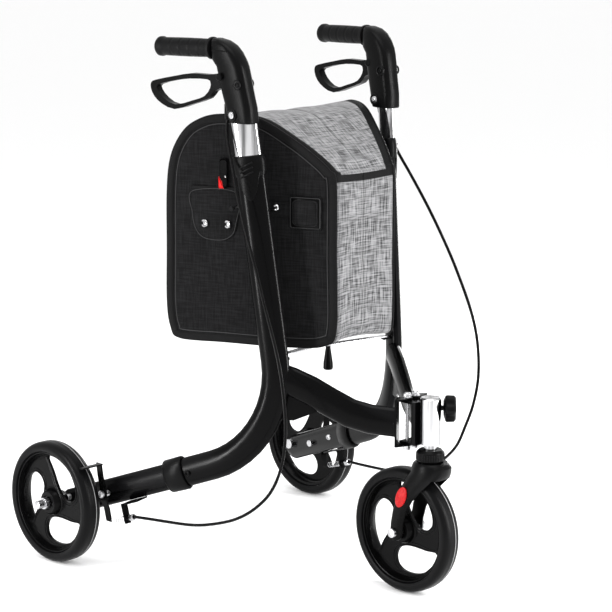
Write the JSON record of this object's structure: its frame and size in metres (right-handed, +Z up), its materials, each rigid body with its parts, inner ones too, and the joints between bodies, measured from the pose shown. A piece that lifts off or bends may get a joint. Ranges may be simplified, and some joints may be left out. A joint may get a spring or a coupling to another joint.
{
  "type": "three wheel rollator walker",
  "caption": "Folding three-wheeled walker with two side frames, hand brakes, adjustable handles and a fabric bag between the frames.",
  "frame": {"origin": "on the floor, under the middle of the walker's bounding box", "axes": "+Z up, -Y forwards (the single front wheel), -X to the user's right"},
  "size_m": [0.666, 0.714, 0.867],
  "materials": {
    "frame_paint": "gloss black powder coat",
    "chrome": "polished",
    "bright_steel": "zinc plated",
    "black_plastic": "fine grain",
    "rim_plastic": "satin moulded",
    "tyre_rubber": "solid tyre",
    "grip_rubber": "soft, ribbed",
    "reflector_red": "reflector lens",
    "bag_side": "black woven",
    "bag_middle": "grey heather weave"
  },
  "bodies": {
    "root": {"head_tube": "chrome", "hinge_block": "frame_paint", "right_fold_bolt": "bright_steel", "left_fold_bolt": "bright_steel", "bag_gusset": "bag_middle"},
    "knob": {"lock_knob": "black_plastic"},
    "steering": {"fork_stem": "chrome", "bearing_cap": "black_plastic", "fork": "black_plastic", "right_reflector": "reflector_red", "left_reflector": "reflector_red", "front_axle": "bright_steel"},
    "front_wheel": {"front_rim": "rim_plastic", "front_tyre": "tyre_rubber"},
    "right_frame": {"right_hinge_bracket": "frame_paint", "right_front_tube": "frame_paint", "right_main_tube": "frame_paint", "right_height_collar": "black_plastic", "right_rear_sleeve": "black_plastic", "right_rear_tube": "frame_paint", "right_cable_stop": "frame_paint", "right_brake_bolt": "bright_steel", "right_brake_spring": "bright_steel", "right_rear_axle": "bright_steel", "right_bag_panel": "bag_side", "right_brake_cable": "black_plastic"},
    "right_handle": {"right_handle_tube": "chrome", "right_handle_casing": "black_plastic", "right_grip": "grip_rubber", "right_lever_bolt": "bright_steel"},
    "right_lever": {"right_brake_lever": "black_plastic"},
    "right_button": {"right_height_button": "bright_steel"},
    "right_arm": {"right_brake_arm": "frame_paint"},
    "right_wheel": {"right_rear_rim": "rim_plastic", "right_rear_tyre": "tyre_rubber"},
    "right_brace": {"right_brace_link": "bright_steel"},
    "left_frame": {"left_hinge_bracket": "frame_paint", "left_front_tube": "frame_paint", "left_main_tube": "frame_paint", "left_height_collar": "black_plastic", "left_rear_sleeve": "black_plastic", "left_rear_tube": "frame_paint", "left_cable_stop": "frame_paint", "left_brake_bolt": "bright_steel", "left_brake_spring": "bright_steel", "left_rear_axle": "bright_steel", "left_bag_panel": "bag_side", "left_brake_cable": "black_plastic"},
    "left_handle": {"left_handle_tube": "chrome", "left_handle_casing": "black_plastic", "left_grip": "grip_rubber", "left_lever_bolt": "bright_steel"},
    "left_lever": {"left_brake_lever": "black_plastic"},
    "left_button": {"left_height_button": "bright_steel"},
    "left_arm": {"left_brake_arm": "frame_paint"},
    "left_wheel": {"left_rear_rim": "rim_plastic", "left_rear_tyre": "tyre_rubber"},
    "left_brace": {"left_brace_link": "bright_steel", "brace_handle": "black_plastic"}
  },
  "joints": [
    {"name": "right_fold", "type": "hinge", "parent": "root", "child": "right_frame", "pos_m": [-0.0093, -0.2652, 0.277], "axis": [0, 0, -1], "range_deg": [0, 22], "deforming": ["bag_gusset"]},
    {"name": "left_fold", "type": "hinge", "parent": "root", "child": "left_frame", "pos_m": [0.0093, -0.2652, 0.277], "axis": [0, 0, 1], "range_deg": [0, 22]},
    {"name": "right_brace_fold", "type": "hinge", "parent": "right_frame", "child": "right_brace", "pos_m": [-0.112, -0.1, 0.3745], "axis": [0, 0, -1], "range_deg": [0, 55.3]},
    {"name": "left_brace_fold", "type": "hinge", "parent": "left_frame", "child": "left_brace", "pos_m": [0.112, -0.1, 0.37], "axis": [0, 0, 1], "range_deg": [0, 55.3]},
    {"name": "caster_swivel", "type": "hinge", "parent": "root", "child": "steering", "pos_m": [0, -0.306, 0.22], "axis": [0, 0, 1], "continuous": true},
    {"name": "front_wheel_spin", "type": "hinge", "parent": "steering", "child": "front_wheel", "pos_m": [0, -0.257, 0.1], "axis": [1, 0, 0], "continuous": true},
    {"name": "lock_knob_turn", "type": "hinge", "parent": "root", "child": "knob", "pos_m": [0, -0.306, 0.304], "axis": [0.7121, -0.7021, 0], "range_deg": [0, 360]},
    {"name": "right_handle_height", "type": "slide", "parent": "right_frame", "child": "right_handle", "axis": [-0.0611, 0.1173, 0.9912], "range_m": [-0.025, 0.05], "deforming": ["right_brake_cable"]},
    {"name": "right_lever_squeeze", "type": "hinge", "parent": "right_handle", "child": "right_lever", "pos_m": [-0.166, -0.0255, 0.8078], "axis": [0.9945, 0.1045, 0], "range_deg": [0, 12], "stiffness_Nm_per_rad": 0.6, "springref_deg": -17.19},
    {"name": "right_height_button_push", "type": "slide", "parent": "right_handle", "child": "right_button", "axis": [0.9945, 0.1045, 0], "range_m": [0, 0.003], "stiffness_N_per_m": 200, "springref_m": -0.001},
    {"name": "right_brake_arm_swing", "type": "hinge", "parent": "right_frame", "child": "right_arm", "pos_m": [-0.2545, 0.181, 0.119], "axis": [-1, 0, 0], "range_deg": [0, 2.4]},
    {"name": "right_wheel_spin", "type": "hinge", "parent": "right_frame", "child": "right_wheel", "pos_m": [-0.294, 0.257, 0.1], "axis": [1, 0, 0], "continuous": true},
    {"name": "left_handle_height", "type": "slide", "parent": "left_frame", "child": "left_handle", "axis": [0.0611, 0.1173, 0.9912], "range_m": [-0.025, 0.05], "deforming": ["left_brake_cable"]},
    {"name": "left_lever_squeeze", "type": "hinge", "parent": "left_handle", "child": "left_lever", "pos_m": [0.166, -0.0255, 0.8078], "axis": [0.9945, -0.1045, 0], "range_deg": [0, 12], "stiffness_Nm_per_rad": 0.6, "springref_deg": -17.19},
    {"name": "left_height_button_push", "type": "slide", "parent": "left_handle", "child": "left_button", "axis": [-0.9945, 0.1045, 0], "range_m": [0, 0.003], "stiffness_N_per_m": 200, "springref_m": -0.001},
    {"name": "left_brake_arm_swing", "type": "hinge", "parent": "left_frame", "child": "left_arm", "pos_m": [0.2545, 0.181, 0.119], "axis": [-1, 0, 0], "range_deg": [0, 2.4]},
    {"name": "left_wheel_spin", "type": "hinge", "parent": "left_frame", "child": "left_wheel", "pos_m": [0.294, 0.257, 0.1], "axis": [1, 0, 0], "continuous": true}
  ],
  "couplings": [
    {"joint": "left_fold", "follows": "right_fold", "ratio": 1},
    {"joint": "right_brace_fold", "follows": "right_fold", "ratio": 2.51},
    {"joint": "left_brace_fold", "follows": "right_fold", "ratio": 2.51},
    {"joint": "right_brake_arm_swing", "follows": "right_lever_squeeze", "ratio": 0.2},
    {"joint": "left_brake_arm_swing", "follows": "left_lever_squeeze", "ratio": 0.2}
  ]
}
